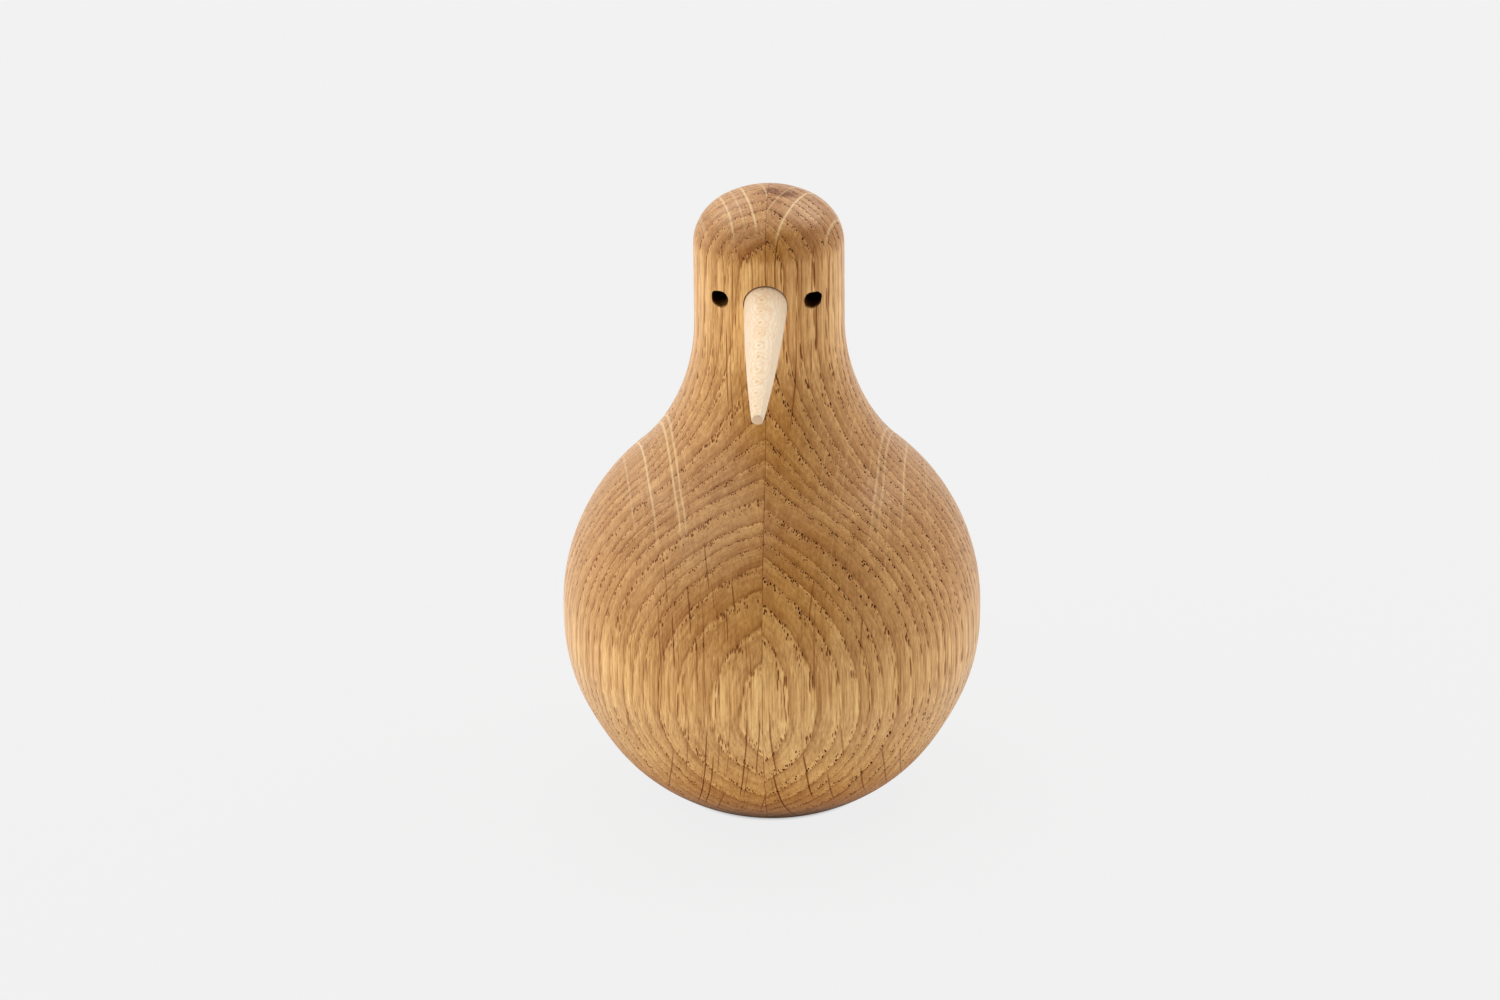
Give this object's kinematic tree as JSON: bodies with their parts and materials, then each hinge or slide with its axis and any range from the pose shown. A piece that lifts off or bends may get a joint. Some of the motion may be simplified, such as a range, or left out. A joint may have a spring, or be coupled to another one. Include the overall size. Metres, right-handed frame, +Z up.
{
  "type": "turned wooden bird figurine",
  "caption": "Turned oak bird figurine: round belly, plain domed head, drilled eyes and a tapered pale wooden beak, standing on a flat base.",
  "frame": {"origin": "centre of the flat base face, on the turning axis of the body", "axes": "+Z up along the turning axis, -Y the way the bird faces, +X towards the bird's own left"},
  "size_m": [0.09, 0.0981, 0.1368],
  "materials": {
    "oak": "fine sanded, matt oil",
    "beak_wood": "fine sanded, bare or matt oil"
  },
  "bodies": {
    "root": {"body_half_left": "oak", "body_half_right": "oak", "beak": "beak_wood"}
  },
  "joints": []
}
